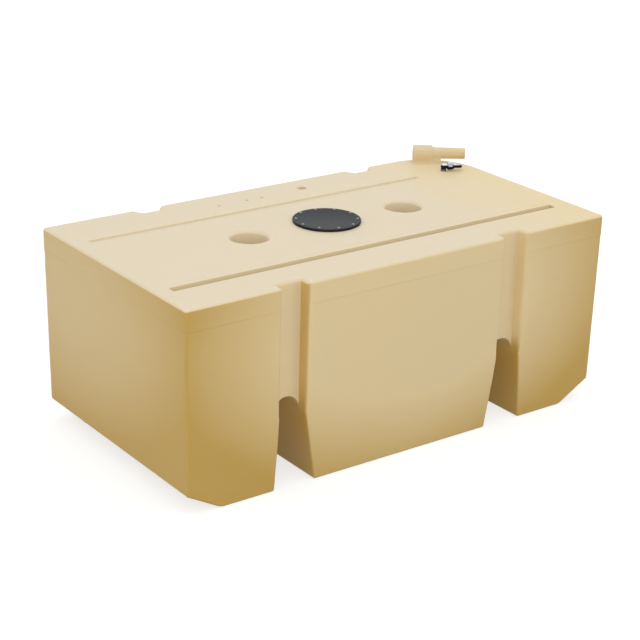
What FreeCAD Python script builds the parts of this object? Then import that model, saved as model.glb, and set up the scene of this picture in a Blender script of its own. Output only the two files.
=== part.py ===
import FreeCAD, Part
import math
import os
import Sketcher

# A one-piece moulded polyethylene fuel tank, lying with its length along X.
# The origin is the middle of the underside, +Z is up and -Y is the front.
# The moulding is a hollow shell of even wall, divided here into the panels,
# channels, tunnels and wells it is made up of, which meet face to face.

# The body of the tank.
tank_length = 1430
tank_width = 755
tank_height = 580
rim_height = 62
rim_step = 3
draft_inset = 4
wall = 8
corner_radius = 185
corner_piece_margin = 12
upright_edge_radius = 16
top_edge_radius = 13
end_slope_run = 106
end_slope_rise = 59
# The two straps: channels down the front and back, tunnels underneath.
strap_from_end = 336
tunnel_width = 82
tunnel_inner_spread = 75
tunnel_outer_spread = 55
tunnel_spring = 210
front_channel_mouth = 84
front_channel_floor = 82
front_channel_depth = 40
back_channel_mouth = 84
back_channel_floor = 58
back_channel_depth = 29
# The two wells in the top.
well_offset = 267
well_mouth_radius = 58
well_radius = 54
well_lip_depth = 8
well_depth = 120
# The long grooves that stiffen the top.
front_groove_from_front = 134.5
front_groove_width = 20
front_groove_ledge = 48
front_groove_left_margin = 47
front_groove_right_margin = 69
front_groove_depth = 14
front_groove_draft = 3
front_groove_ledge_depth = 2
back_groove_from_back = 174.5
back_groove_width = 18
back_groove_draft = 5
back_groove_left_margin = 53
back_groove_right_margin = 232
back_groove_depth = 6
# The round inspection plate.
plate_x = -8
plate_y = 2
plate_radius = 98
plate_thickness = 6
plate_gasket_thickness = 2
plate_opening_radius = 70
plate_screw_circle = 88
plate_screw_hole = 3
plate_screw_count = 10
plate_angle = 4
# The filler: a collar and pipe lying on the top at the rounded corner.
filler_from_end = 108
filler_from_back = 49.5
filler_angle = -37
filler_axis_height = 30
collar_radius = 24
collar_length = 61
saddle_width = 34
pipe_radius = 18
spout_radius = 17
spout_length = 25
pipe_length = 78
pipe_bore_radius = 13.5
web_width = 32
web_length = 28
# The vent: an elbow with a nut and a hose tail.
vent_from_end = 115
vent_from_back = 162.5
vent_angle = -25
vent_axis_height = 15
vent_body_radius = 9
vent_cap = 1.5
vent_arm_length = 12
vent_nut_across = 22
vent_nut_length = 20
vent_tail_radius = 8
vent_tail_length = 26
vent_bore_radius = 5
# The threaded hole at the back.
fitting_x = 116
fitting_from_back = 77.5
fitting_radius = 20
fitting_bore_radius = 14
fitting_depth = 24
# Room that the cutting shapes run past the faces they open.
overrun = 20

V = FreeCAD.Vector
X_DIR = V(1, 0, 0)
Y_DIR = V(0, 1, 0)
Z_DIR = V(0, 0, 1)
LYING = FreeCAD.Rotation(Z_DIR, X_DIR)
FRONT_VIEW = FreeCAD.Rotation(X_DIR, 90)
END_VIEW = FreeCAD.Rotation(V(1, 1, 1), 120)
STRAP_LINE = "(Sizes.tank_length / 2 - Sizes.strap_from_end)"
FITTING_LINE = "Sizes.tank_width / 2 - Sizes.fitting_from_back"
PAST_BOTH_ENDS = "Sizes.tank_length + 2 * Sizes.overrun"

doc = FreeCAD.newDocument("FuelTank")
sheet = doc.addObject("Spreadsheet::Sheet", "Sizes")
named_sizes = [(name, value) for name, value in globals().items()
               if isinstance(value, (int, float))]
for row, (name, value) in enumerate(named_sizes, 1):
    sheet.set("A%d" % row, str(value))
    sheet.setAlias("A%d" % row, name)
doc.recompute()

made_nodes = []


def number(formula):
    """The value of a formula in the sheet's sizes, for a sketch's first points."""
    worked_out = sheet.evalExpression(formula)
    return float(getattr(worked_out, "Value", worked_out))


def bind(obj, pairs):
    for prop, formula in pairs:
        obj.setExpression(prop, formula)
    return obj


def box(name, x_low, x_high, y_low, y_high, z_low, z_high):
    block = doc.addObject("Part::Box", name)
    return bind(block, [
        ("Length", "(%s) - (%s)" % (x_high, x_low)),
        ("Width", "(%s) - (%s)" % (y_high, y_low)),
        ("Height", "(%s) - (%s)" % (z_high, z_low)),
        ("Placement.Base.x", x_low),
        ("Placement.Base.y", y_low),
        ("Placement.Base.z", z_low),
    ])


def turned(obj, turn):
    """Lay an upright primitive down and swing it round by an angle."""
    obj.Placement.Rotation = FreeCAD.Rotation(Z_DIR, float(turn)).multiply(LYING)
    return obj


def drum(name, radius, length, x_pos, y_pos, z_pos):
    upright = doc.addObject("Part::Cylinder", name)
    return bind(upright, [
        ("Radius", radius),
        ("Height", length),
        ("Placement.Base.x", x_pos),
        ("Placement.Base.y", y_pos),
        ("Placement.Base.z", z_pos),
    ])


def fitting_spot(fitting):
    """Where the filler or the vent stands, kept from the right end and the back."""
    return ("Sizes.tank_length / 2 - Sizes.%s_from_end" % fitting,
            "Sizes.tank_width / 2 - Sizes.%s_from_back" % fitting)


def fuse(name, shapes):
    joined = doc.addObject("Part::MultiFuse", name)
    joined.Shapes = shapes
    joined.Refine = True
    return joined


def cut(name, base, tool):
    left = doc.addObject("Part::Cut", name)
    left.Base = base
    left.Tool = tool
    left.Refine = True
    return left


def common(name, first, second):
    shared = doc.addObject("Part::MultiCommon", name)
    shared.Shapes = [first, second]
    shared.Refine = True
    return shared


def mirrored(name, source):
    twin = doc.addObject("Part::Mirroring", name)
    twin.Source = source
    twin.Normal = X_DIR
    return twin


def node(label, obj):
    obj.Label = label
    made_nodes.append(obj)
    return obj


def hold(sketch, kind, first, first_end, second, second_end, formula):
    """Add a driven distance between two ends and bind it to a formula."""
    rule = Sketcher.Constraint(kind, first, first_end, second, second_end, number(formula))
    place = sketch.addConstraint(rule)
    label = "size%d" % place
    sketch.renameConstraint(place, label)
    sketch.setExpression("Constraints." + label, formula)


def outline(name, corners, view=None):
    """A closed sketch of straight lines, its corners given by formulas."""
    sketch = doc.addObject("Sketcher::SketchObject", name)
    spots = [V(number(across), number(up), 0) for across, up in corners]
    count = len(corners)
    for i in range(count):
        sketch.addGeometry(Part.LineSegment(spots[i], spots[(i + 1) % count]))
    for i in range(count):
        sketch.addConstraint(Sketcher.Constraint("Coincident", i, 2, (i + 1) % count, 1))
    for i, (across, up) in enumerate(corners):
        hold(sketch, "DistanceX", -1, 1, i, 1, across)
        hold(sketch, "DistanceY", -1, 1, i, 1, up)
    if view is not None:
        sketch.Placement.Rotation = view
    return sketch


def extruded(name, sketch, direction, length, both_ways=False):
    solid = doc.addObject("Part::Extrusion", name)
    solid.Base = sketch
    solid.DirMode = "Custom"
    solid.Dir = direction
    solid.Solid = True
    solid.Symmetric = both_ways
    solid.setExpression("LengthFwd", length)
    return solid


def rounded(name, base, radius_for):
    """Round each edge of a solid by the radius that the given rule returns for it."""
    doc.recompute()
    edges = [(place, radius_for(edge)) for place, edge in enumerate(base.Shape.Edges, 1)]
    fillet = doc.addObject("Part::Fillet", name)
    fillet.Base = base
    fillet.Edges = [(place, radius, radius) for place, radius in edges if radius]
    return fillet


def tank_solid(name, thinner, floor, ceiling, top_radius):
    """The drafted lower body and the straight rim above the parting line."""
    gauge = number(thinner)
    parting = "(Sizes.tank_height - Sizes.rim_height)"

    def drafted(stem, half, view, direction):
        shoulder = "(%s / 2 - Sizes.rim_step - %s)" % (half, thinner)
        foot = "(%s - Sizes.draft_inset)" % shoulder
        profile = outline(stem + "Profile", [
            ("-" + foot, floor), (foot, floor),
            (shoulder, parting), ("-" + shoulder, parting)], view)
        return extruded(stem, profile, direction, PAST_BOTH_ENDS, both_ways=True)

    def upright_rule(large_radius):
        def radius_for(edge):
            if edge.BoundBox.ZLength < edge.Length / 2:
                return 0
            back_right = edge.CenterOfMass.x > 0 and edge.CenterOfMass.y > 0
            return large_radius if back_right else upright_edge_radius - gauge
        return radius_for

    def top_rule(edge):
        on_top = abs(edge.BoundBox.ZMin - tank_height) < edge.Length / tank_length
        return top_radius if on_top else 0

    lower = common(name + "Lower",
                   drafted(name + "Front", "Sizes.tank_length", FRONT_VIEW, Y_DIR),
                   drafted(name + "End", "Sizes.tank_width", END_VIEW, X_DIR))
    half_x = "(Sizes.tank_length / 2 - %s)" % thinner
    half_y = "(Sizes.tank_width / 2 - %s)" % thinner
    rim = box(name + "Rim", "-" + half_x, half_x, "-" + half_y, half_y, parting, ceiling)
    large_radius = corner_radius - gauge
    lower = rounded(name + "LowerEdges", lower, upright_rule(large_radius - rim_step))
    rim = rounded(name + "RimEdges", rim, upright_rule(large_radius))
    if top_radius:
        rim = rounded(name + "RimTop", rim, top_rule)
    return fuse(name + "Solid", [lower, rim])


def end_slope(stem, grow):
    """The slanted lower edge of the right end, seen from the front."""
    end = "(Sizes.tank_length / 2 - Sizes.rim_step - Sizes.draft_inset)"
    slant = "sqrt(Sizes.end_slope_run ^ 2 + Sizes.end_slope_rise ^ 2)"
    foot = "%s - Sizes.end_slope_run - %s * %s / Sizes.end_slope_rise" % (end, grow, slant)
    rise = ("Sizes.end_slope_rise + (%s * %s + Sizes.overrun * Sizes.end_slope_rise)"
            " / Sizes.end_slope_run" % (grow, slant))
    past = end + " + Sizes.overrun"
    profile = outline(stem + "Profile", [(foot, "0"), (past, "0"), (past, rise)], FRONT_VIEW)
    return extruded(stem, profile, Y_DIR, PAST_BOTH_ENDS, both_ways=True)


def tunnel(stem, grow):
    """The arched tunnel, its legs leaning in to meet the arch at a tangent."""
    strap_centre = number(STRAP_LINE)
    inner_foot = strap_centre - tunnel_inner_spread - number(grow)
    outer_foot = strap_centre + tunnel_outer_spread + number(grow)
    radius = tunnel_width / 2 + number(grow)
    spring_left = V(strap_centre - radius, tunnel_spring, 0)
    spring_right = V(strap_centre + radius, tunnel_spring, 0)
    profile = doc.addObject("Sketcher::SketchObject", stem + "Profile")
    profile.addGeometry(Part.LineSegment(V(outer_foot, 0, 0), V(inner_foot, 0, 0)))
    profile.addGeometry(Part.LineSegment(V(inner_foot, 0, 0), spring_left))
    ring = Part.Circle(V(strap_centre, tunnel_spring, 0), Z_DIR, radius)
    profile.addGeometry(Part.ArcOfCircle(ring, 0, math.pi))
    profile.addGeometry(Part.LineSegment(spring_right, V(outer_foot, 0, 0)))
    rules = [
        ("Coincident", 0, 2, 1, 1),
        ("Tangent", 1, 2, 2, 2),
        ("Tangent", 2, 1, 3, 1),
        ("Coincident", 3, 2, 0, 1),
        ("PointOnObject", 0, 1, -1),
        ("PointOnObject", 0, 2, -1),
    ]
    for rule in rules:
        profile.addConstraint(Sketcher.Constraint(*rule))
    hold(profile, "DistanceX", -1, 1, 0, 2,
         "%s - Sizes.tunnel_inner_spread - %s" % (STRAP_LINE, grow))
    hold(profile, "DistanceX", -1, 1, 0, 1,
         "%s + Sizes.tunnel_outer_spread + %s" % (STRAP_LINE, grow))
    hold(profile, "DistanceX", -1, 1, 2, 3, STRAP_LINE)
    hold(profile, "DistanceY", -1, 1, 2, 3, "Sizes.tunnel_spring")
    arc_size = profile.addConstraint(Sketcher.Constraint("Radius", 2, radius))
    profile.renameConstraint(arc_size, "arch")
    profile.setExpression("Constraints.arch", "Sizes.tunnel_width / 2 + %s" % grow)
    profile.Placement.Rotation = FRONT_VIEW
    return extruded(stem, profile, Y_DIR, PAST_BOTH_ENDS, both_ways=True)


def channel(stem, side, face, grow):
    """An upright strap channel, its plan a shallow trapezium open at the face."""
    mouth = "Sizes.%s_channel_mouth" % side
    floor = "Sizes.%s_channel_floor" % side
    depth = "Sizes.%s_channel_depth" % side
    flare = "(%s - %s) / 2 / %s * Sizes.overrun" % (mouth, floor, depth)
    wide = "(%s / 2 + %s + %s)" % (mouth, flare, grow)
    narrow = "(%s / 2 + %s)" % (floor, grow)
    bottom = "%d * (Sizes.tank_width / 2 - %s - %s)" % (face, depth, grow)
    outer = "%d * (Sizes.tank_width / 2 + Sizes.overrun)" % face
    plan = outline(stem + "Plan", [
        (STRAP_LINE + " - " + narrow, bottom),
        (STRAP_LINE + " + " + narrow, bottom),
        (STRAP_LINE + " + " + wide, outer),
        (STRAP_LINE + " - " + wide, outer)])
    plan.setExpression("Placement.Base.z", "Sizes.tunnel_spring")
    return extruded(stem, plan, Z_DIR,
                    "Sizes.tank_height + Sizes.overrun - Sizes.tunnel_spring")


def well_space(stem):
    """The round well, turned from a profile with a flared lip."""
    flare = "(Sizes.well_mouth_radius - Sizes.well_radius)"
    spread = "%s * (1 + Sizes.overrun / Sizes.well_lip_depth)" % flare
    floor = "Sizes.tank_height - Sizes.well_depth"
    above = "Sizes.tank_height + Sizes.overrun"
    profile = outline(stem + "Profile", [
        ("0", floor),
        ("Sizes.well_radius", floor),
        ("Sizes.well_radius", "Sizes.tank_height - Sizes.well_lip_depth"),
        ("Sizes.well_radius + " + spread, above),
        ("0", above)], FRONT_VIEW)
    profile.setExpression("Placement.Base.x", "Sizes.well_offset")
    turning = doc.addObject("Part::Revolution", stem)
    turning.Source = profile
    turning.Axis = Z_DIR
    turning.Angle = 360
    turning.Solid = True
    turning.setExpression("Base.x", "Sizes.well_offset")
    return turning


def well_lining(stem, grow):
    return drum(stem, "Sizes.well_radius + %s" % grow,
                "Sizes.well_depth + Sizes.overrun + %s" % grow, "Sizes.well_offset", "0",
                "Sizes.tank_height - Sizes.well_depth - %s" % grow)


def groove_run(stem, section, side, grow):
    """Run a groove's section along the top, up to its margins at the two ends."""
    left = "Sizes.%s_groove_left_margin" % side
    right = "Sizes.%s_groove_right_margin" % side
    section.setExpression("Placement.Base.x", "%s - Sizes.tank_length / 2 - %s" % (left, grow))
    return extruded(stem, section, X_DIR,
                    "Sizes.tank_length - %s - %s + 2 * %s" % (left, right, grow))


def front_groove(stem, grow):
    """The deep front groove with the shallow ledge behind it, as one section."""
    edge = "Sizes.front_groove_from_front - Sizes.tank_width / 2"
    near = "%s - %s" % (edge, grow)
    back = "%s + Sizes.front_groove_width + %s" % (edge, grow)
    ledge = "%s + Sizes.front_groove_ledge + %s" % (edge, grow)
    floor = "Sizes.tank_height - Sizes.front_groove_depth - %s" % grow
    step = "Sizes.tank_height - Sizes.front_groove_ledge_depth - %s" % grow
    above = "Sizes.tank_height + Sizes.overrun"
    section = outline(stem + "Section", [
        (near, above),
        (near, "Sizes.tank_height - %s" % grow),
        (near + " + Sizes.front_groove_draft", floor),
        (back + " - Sizes.front_groove_draft", floor),
        (back, step),
        (ledge, step),
        (ledge, above)], END_VIEW)
    return groove_run(stem, section, "front", grow)


def back_groove(stem, grow):
    """The shallow back groove, a trapezium in section."""
    half = "(Sizes.back_groove_width / 2 + %s)" % grow
    middle = "Sizes.tank_width / 2 - Sizes.back_groove_from_back"
    floor = "Sizes.tank_height - Sizes.back_groove_depth - %s" % grow
    level = "Sizes.tank_height - %s" % grow
    above = "Sizes.tank_height + Sizes.overrun"
    section = outline(stem + "Section", [
        ("%s - %s" % (middle, half), above),
        ("%s - %s" % (middle, half), level),
        ("%s - %s + Sizes.back_groove_draft" % (middle, half), floor),
        ("%s + %s - Sizes.back_groove_draft" % (middle, half), floor),
        ("%s + %s" % (middle, half), level),
        ("%s + %s" % (middle, half), above)], END_VIEW)
    return groove_run(stem, section, "back", grow)


def hollows(stem, grow, right_well):
    """Every space that the moulding bends round, at its size or grown by the wall."""
    right_hand = {
        "right_slope": end_slope(stem + "RightSlope", grow),
        "right_tunnel": tunnel(stem + "RightTunnel", grow),
        "front_right_channel": channel(stem + "FrontRightChannel", "front", -1, grow),
        "back_right_channel": channel(stem + "BackRightChannel", "back", 1, grow),
        "right_well": right_well,
    }
    parts = dict(right_hand)
    for key, solid in right_hand.items():
        parts[key.replace("right", "left")] = mirrored(solid.Name.replace("Right", "Left"), solid)
    parts["front_groove"] = front_groove(stem + "FrontGroove", grow)
    parts["back_groove"] = back_groove(stem + "BackGroove", grow)
    return parts


spaces = hollows("Open", "0", well_space("OpenRightWell"))
linings = hollows("Lined", "Sizes.wall", well_lining("LinedRightWell", "Sizes.wall"))
all_spaces = fuse("OpenSpaces", list(spaces.values()))
all_linings = fuse("LinedSpaces", list(linings.values()))

underside_of_top = "(Sizes.tank_height - Sizes.wall)"
outer_solid = tank_solid("Outer", "0", "0 mm", "Sizes.tank_height", top_edge_radius)
inner_solid = tank_solid("Inner", "Sizes.wall", "Sizes.wall", underside_of_top, 0)
outside = cut("Outside", outer_solid, all_spaces)
cavity = cut("Cavity", inner_solid, all_linings)
shell = cut("Shell", outside, cavity)
plain_outside = cut("PlainOutside", outer_solid, all_linings)
plain_shell = cut("PlainShell", plain_outside, inner_solid)

# Holes through the top for the plate, the filler, the vent and the fitting.
top_face = "Sizes.tank_height"
hole_floor = "Sizes.tank_height - Sizes.wall - Sizes.overrun"
hole_height = "Sizes.wall + 2 * Sizes.overrun"
plate_hole = drum("PlateHole", "Sizes.plate_opening_radius", hole_height,
                  "Sizes.plate_x", "Sizes.plate_y", hole_floor)
filler_hole = drum("FillerHole", "Sizes.pipe_bore_radius", hole_height,
                   *fitting_spot("filler"), hole_floor)
fitting_hole = drum("FittingHole", "Sizes.fitting_radius", hole_height,
                    "Sizes.fitting_x", FITTING_LINE, hole_floor)
top_holes = fuse("TopHoles", [plate_hole, filler_hole, fitting_hole])

far_left = "-Sizes.tank_length"
far_right = "Sizes.tank_length"
front_far = "-Sizes.tank_width"
back_far = "Sizes.tank_width"
edge_band = "(Sizes.upright_edge_radius + Sizes.wall)"
front_split = "-(Sizes.tank_width / 2 - %s)" % edge_band
back_split = "Sizes.tank_width / 2 - %s" % edge_band
left_split = "-(Sizes.tank_length / 2 - %s)" % edge_band
right_split = "Sizes.tank_length / 2 - %s" % edge_band
corner_x = "Sizes.tank_length / 2 - Sizes.corner_radius - Sizes.corner_piece_margin"
corner_y = "Sizes.tank_width / 2 - Sizes.corner_radius - Sizes.corner_piece_margin"
left_strap = "-" + STRAP_LINE
right_strap = STRAP_LINE
floor_top = "Sizes.wall"

roof_zone = box("RoofZone", far_left, far_right, front_far, back_far, underside_of_top,
                "Sizes.tank_height + Sizes.overrun")
roof_sheet = common("RoofSheet", plain_shell, roof_zone)
node("roof_panel", cut("RoofPanel", roof_sheet, top_holes))


def panel(label, x_low, x_high, y_low, y_high, z_low, z_high):
    zone = box(label + "_zone", x_low, x_high, y_low, y_high, z_low, z_high)
    return node(label, common(label + "_piece", plain_shell, zone))


def wall_panel(label, x_low, x_high, y_low, y_high):
    return panel(label, x_low, x_high, y_low, y_high, floor_top, underside_of_top)


wall_panel("left_end_wall", far_left, left_split, front_split, back_split)
wall_panel("right_end_wall", right_split, far_right, front_split, corner_y)
wall_panel("rounded_corner_wall", corner_x, far_right, corner_y, back_far)
wall_panel("front_left_wall", far_left, left_strap, front_far, front_split)
wall_panel("front_middle_wall", left_strap, right_strap, front_far, front_split)
wall_panel("front_right_wall", right_strap, far_right, front_far, front_split)
wall_panel("back_left_wall", far_left, left_strap, back_split, back_far)
wall_panel("back_middle_wall", left_strap, right_strap, back_split, back_far)
wall_panel("back_right_wall", right_strap, corner_x, back_split, back_far)
panel("left_floor", far_left, left_strap, front_far, back_far, "0", floor_top)
panel("middle_floor", left_strap, right_strap, front_far, back_far, "0", floor_top)
panel("right_floor", right_strap, far_right, front_far, back_far, "0", floor_top)

for key in ("left_tunnel", "right_tunnel"):
    node(key, common(key + "_piece", shell, linings[key]))
tunnel_linings = fuse("TunnelLinings", [linings["left_tunnel"], linings["right_tunnel"]])
for key in ("front_left_channel", "front_right_channel",
            "back_left_channel", "back_right_channel"):
    upright = common(key + "_upright", shell, linings[key])
    node(key, cut(key + "_piece", upright, tunnel_linings))
for key in ("left_slope", "right_slope", "left_well", "right_well",
            "front_groove", "back_groove"):
    node(key, common(key + "_piece", shell, linings[key]))

# The inspection plate on its gasket, with its ring of screw holes.
gasket_disc = drum("GasketDisc", "Sizes.plate_radius", "Sizes.plate_gasket_thickness",
                   "Sizes.plate_x", "Sizes.plate_y", top_face)
gasket_hole = drum("GasketHole", "Sizes.plate_opening_radius",
                   "Sizes.plate_gasket_thickness", "Sizes.plate_x", "Sizes.plate_y", top_face)
node("plate_gasket", cut("PlateGasket", gasket_disc, gasket_hole))


def circle_sketch(body, name, x_pos, radius, x_formula, radius_formula):
    """A circle on the body's own ground plane, on its X axis."""
    ground = [plane for plane in body.Origin.OriginFeatures if plane.Role == "XY_Plane"][0]
    sketch = body.newObject("Sketcher::SketchObject", name)
    sketch.AttachmentSupport = [(ground, "")]
    sketch.MapMode = "FlatFace"
    sketch.addGeometry(Part.Circle(V(x_pos, 0, 0), Z_DIR, radius))
    if x_pos:
        sketch.addConstraint(Sketcher.Constraint("PointOnObject", 0, 3, -1))
        hold(sketch, "DistanceX", -1, 1, 0, 3, x_formula)
    else:
        sketch.addConstraint(Sketcher.Constraint("Coincident", 0, 3, -1, 1))
    place = sketch.addConstraint(Sketcher.Constraint("Radius", 0, radius))
    sketch.renameConstraint(place, "edge")
    sketch.setExpression("Constraints.edge", radius_formula)
    return sketch


plate_body = doc.addObject("PartDesign::Body", "InspectionPlate")
disc_pad = plate_body.newObject("PartDesign::Pad", "DiscPad")
disc_pad.Profile = circle_sketch(plate_body, "DiscSketch", 0, plate_radius,
                                 "0", "Sizes.plate_radius")
disc_pad.setExpression("Length", "Sizes.plate_thickness")
screw_sketch = circle_sketch(plate_body, "ScrewHoleSketch", plate_screw_circle,
                             plate_screw_hole, "Sizes.plate_screw_circle",
                             "Sizes.plate_screw_hole")
screw_pocket = plate_body.newObject("PartDesign::Pocket", "ScrewHole")
screw_pocket.Profile = screw_sketch
screw_pocket.Type = "ThroughAll"
screw_pocket.Reversed = True
screw_ring = plate_body.newObject("PartDesign::PolarPattern", "ScrewHoleRing")
screw_ring.Originals = [screw_pocket]
screw_ring.Axis = (screw_sketch, ["N_Axis"])
screw_ring.setExpression("Occurrences", "Sizes.plate_screw_count")
plate_body.Tip = screw_ring
plate_body.Placement.Rotation = FreeCAD.Rotation(Z_DIR, float(plate_angle))
bind(plate_body, [
    ("Placement.Base.x", "Sizes.plate_x"),
    ("Placement.Base.y", "Sizes.plate_y"),
    ("Placement.Base.z", "Sizes.tank_height + Sizes.plate_gasket_thickness"),
])
node("inspection_plate", plate_body)


def along(fitting, distance):
    """Formulas for the point so far along the filler's or the vent's own axis."""
    turn = "(Sizes.%s_angle * 1 deg)" % fitting
    x_pos, y_pos = fitting_spot(fitting)
    return ("%s + cos%s * (%s)" % (x_pos, turn, distance),
            "%s + sin%s * (%s)" % (y_pos, turn, distance))


def lying_drum(name, fitting, turn, start, radius, length, level):
    x_pos, y_pos = along(fitting, start)
    return turned(drum(name, radius, length, x_pos, y_pos, level), turn)


def filler_block(name, start, length, width, low, high):
    """A block along the filler's axis, centred on it."""
    block = box(name, "0", length, "0", width, low, high)
    block.Placement.Rotation = FreeCAD.Rotation(Z_DIR, float(filler_angle))
    x_pos, y_pos = along("filler", start)
    return bind(block, [
        ("Placement.Base.x", x_pos + " + sin(Sizes.filler_angle * 1 deg) * %s / 2" % width),
        ("Placement.Base.y", y_pos + " - cos(Sizes.filler_angle * 1 deg) * %s / 2" % width),
    ])


# The filler: collar on its saddle, stepped pipe and the web at the pipe's root.
filler_level = "(Sizes.tank_height + Sizes.filler_axis_height)"
collar_start = "-Sizes.collar_length / 2"
collar_end = "Sizes.collar_length / 2"
collar_drum = lying_drum("CollarDrum", "filler", filler_angle, collar_start,
                         "Sizes.collar_radius", "Sizes.collar_length", filler_level)
saddle = filler_block("CollarSaddle", collar_start, "Sizes.collar_length",
                      "Sizes.saddle_width", top_face, filler_level)
pipe_bar = lying_drum("PipeBar", "filler", filler_angle, collar_end, "Sizes.pipe_radius",
                      "Sizes.pipe_length", filler_level)
spout_bar = lying_drum("SpoutBar", "filler", filler_angle, collar_end + " + Sizes.pipe_length",
                       "Sizes.spout_radius", "Sizes.spout_length", filler_level)
filler_bore = lying_drum("FillerBore", "filler", filler_angle, "0", "Sizes.pipe_bore_radius",
                         collar_end + " + Sizes.pipe_length + Sizes.spout_length",
                         filler_level)
drop_bore = drum("DropBore", "Sizes.pipe_bore_radius", "Sizes.filler_axis_height",
                 *fitting_spot("filler"), top_face)
collar_solid = fuse("CollarSolid", [collar_drum, saddle])
collar_bores = fuse("CollarBores", [filler_bore, drop_bore])
node("filler_collar", cut("FillerCollar", collar_solid, collar_bores))
pipe_solid = fuse("PipeSolid", [pipe_bar, spout_bar])
node("filler_pipe", cut("FillerPipe", pipe_solid, filler_bore))
web_block = filler_block("WebBlock", collar_end, "Sizes.web_length", "Sizes.web_width",
                         top_face, filler_level)
web_free = cut("WebFree", web_block, pipe_bar)
node("filler_web", cut("FillerWeb", web_free, filler_bore))

# The vent: elbow body, hexagon nut and hose tail.
vent_level = "(Sizes.tank_height + Sizes.vent_axis_height)"
vent_post = drum("VentPost", "Sizes.vent_body_radius",
                 "Sizes.vent_axis_height + Sizes.vent_body_radius + Sizes.vent_cap",
                 *fitting_spot("vent"), top_face)
vent_arm = lying_drum("VentArm", "vent", vent_angle, "0", "Sizes.vent_body_radius",
                      "Sizes.vent_arm_length", vent_level)
node("vent_elbow", fuse("VentElbow", [vent_post, vent_arm]))
vent_bore = lying_drum("VentBore", "vent", vent_angle, "Sizes.vent_arm_length",
                       "Sizes.vent_bore_radius",
                       "Sizes.vent_nut_length + Sizes.vent_tail_length", vent_level)
nut_x, nut_y = along("vent", "Sizes.vent_arm_length")
hexagon = turned(doc.addObject("Part::Prism", "VentNutHexagon"), vent_angle)
hexagon.Polygon = 6
bind(hexagon, [
    ("Circumradius", "Sizes.vent_nut_across / 2 / cos(30 deg)"),
    ("Height", "Sizes.vent_nut_length"),
    ("Placement.Base.x", nut_x),
    ("Placement.Base.y", nut_y),
    ("Placement.Base.z", vent_level),
])
node("vent_nut", cut("VentNut", hexagon, vent_bore))
tail_bar = lying_drum("VentTailBar", "vent", vent_angle,
                      "Sizes.vent_arm_length + Sizes.vent_nut_length",
                      "Sizes.vent_tail_radius", "Sizes.vent_tail_length", vent_level)
node("vent_hose_tail", cut("VentHoseTail", tail_bar, vent_bore))

# The threaded insert of the back fitting.
insert_bar = drum("InsertBar", "Sizes.fitting_radius", "Sizes.fitting_depth",
                  "Sizes.fitting_x", FITTING_LINE,
                  "Sizes.tank_height - Sizes.fitting_depth")
insert_bore = drum("InsertBore", "Sizes.fitting_bore_radius",
                   "Sizes.fitting_depth + 2 * Sizes.overrun",
                   "Sizes.fitting_x", FITTING_LINE,
                   "Sizes.tank_height - Sizes.fitting_depth - Sizes.overrun")
node("fitting_insert", cut("FittingInsert", insert_bar, insert_bore))

doc.recompute()

for obj in doc.Objects:
    if "Invalid" in obj.State or "Error" in obj.State:
        raise RuntimeError("%s did not compute: %s" % (obj.Name, obj.State))

os.makedirs("parts", exist_ok=True)
for obj in made_nodes:
    shape = obj.Shape
    if shape.isNull() or not shape.isValid():
        raise RuntimeError("%s has no valid shape" % obj.Label)
    if len(shape.Solids) != 1:
        raise RuntimeError("%s is not one solid" % obj.Label)
for obj in made_nodes:
    obj.Shape.exportStep("parts/%s.step" % obj.Label)
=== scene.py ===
import math

import bmesh
import bpy
import numpy as np
from mathutils import Matrix, Vector


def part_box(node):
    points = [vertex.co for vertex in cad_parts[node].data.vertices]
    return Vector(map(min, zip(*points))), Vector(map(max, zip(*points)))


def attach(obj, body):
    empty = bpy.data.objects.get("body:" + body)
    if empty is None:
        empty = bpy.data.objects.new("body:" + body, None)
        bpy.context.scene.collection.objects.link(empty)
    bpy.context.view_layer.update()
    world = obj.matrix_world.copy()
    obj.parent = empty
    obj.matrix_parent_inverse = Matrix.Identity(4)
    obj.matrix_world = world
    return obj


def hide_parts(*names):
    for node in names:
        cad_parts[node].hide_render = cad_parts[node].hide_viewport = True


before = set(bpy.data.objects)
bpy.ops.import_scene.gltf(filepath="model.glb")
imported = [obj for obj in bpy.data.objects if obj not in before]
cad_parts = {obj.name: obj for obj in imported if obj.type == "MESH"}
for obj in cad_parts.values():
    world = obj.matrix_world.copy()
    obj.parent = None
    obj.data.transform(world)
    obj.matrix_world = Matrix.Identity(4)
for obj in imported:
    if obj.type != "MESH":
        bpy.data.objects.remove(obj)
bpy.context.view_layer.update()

# A one-piece moulded polyethylene fuel tank. Lengths are in metres, +Z up,
# the length of the tank along X and its front towards -Y.

MM = 0.001

# Sizes of the moulding. Its draft is what the walls lean in by at the foot.

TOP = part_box("roof_panel")[1][2]
HALF_LENGTH = 715 * MM
HALF_WIDTH = 377.5 * MM
PARTING = 518 * MM
RIM_STEP = 0.9 * MM
RIM_ABOVE = 1 * MM
RIM_RUN = 2.5 * MM
DRAFT_INSET = 5.8 * MM
CORNER_RADIUS = 185 * MM
END_SLOPE_RUN = 106 * MM
END_SLOPE_RISE = 59 * MM
STRAP_CENTRE = 379 * MM
TUNNEL_RADIUS = 41 * MM
TUNNEL_SPRING = 210 * MM
TUNNEL_INNER_FOOT = 304 * MM
TUNNEL_OUTER_FOOT = 434 * MM
FITTING_X = 116 * MM
FITTING_Y = 300 * MM
FITTING_HOLE_RADIUS = 19.5 * MM
FITTING_HOLE_DEPTH = 26 * MM

# A strap channel: half its width at the face and at the floor, and its depth.

FRONT_CHANNEL = (42 * MM, 41 * MM, 40 * MM)
BACK_CHANNEL = (42 * MM, 29 * MM, 29 * MM)

WELL_OFFSET = 267 * MM
WELL_RADIUS = 54 * MM
WELL_FLARE = 6 * MM
WELL_LIP = 8 * MM
WELL_DEPTH = 120 * MM
WELL_FOOT = 10 * MM
LEFT_WELL_OUT = 3 * MM
LEFT_WELL_BACK = 7 * MM

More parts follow.
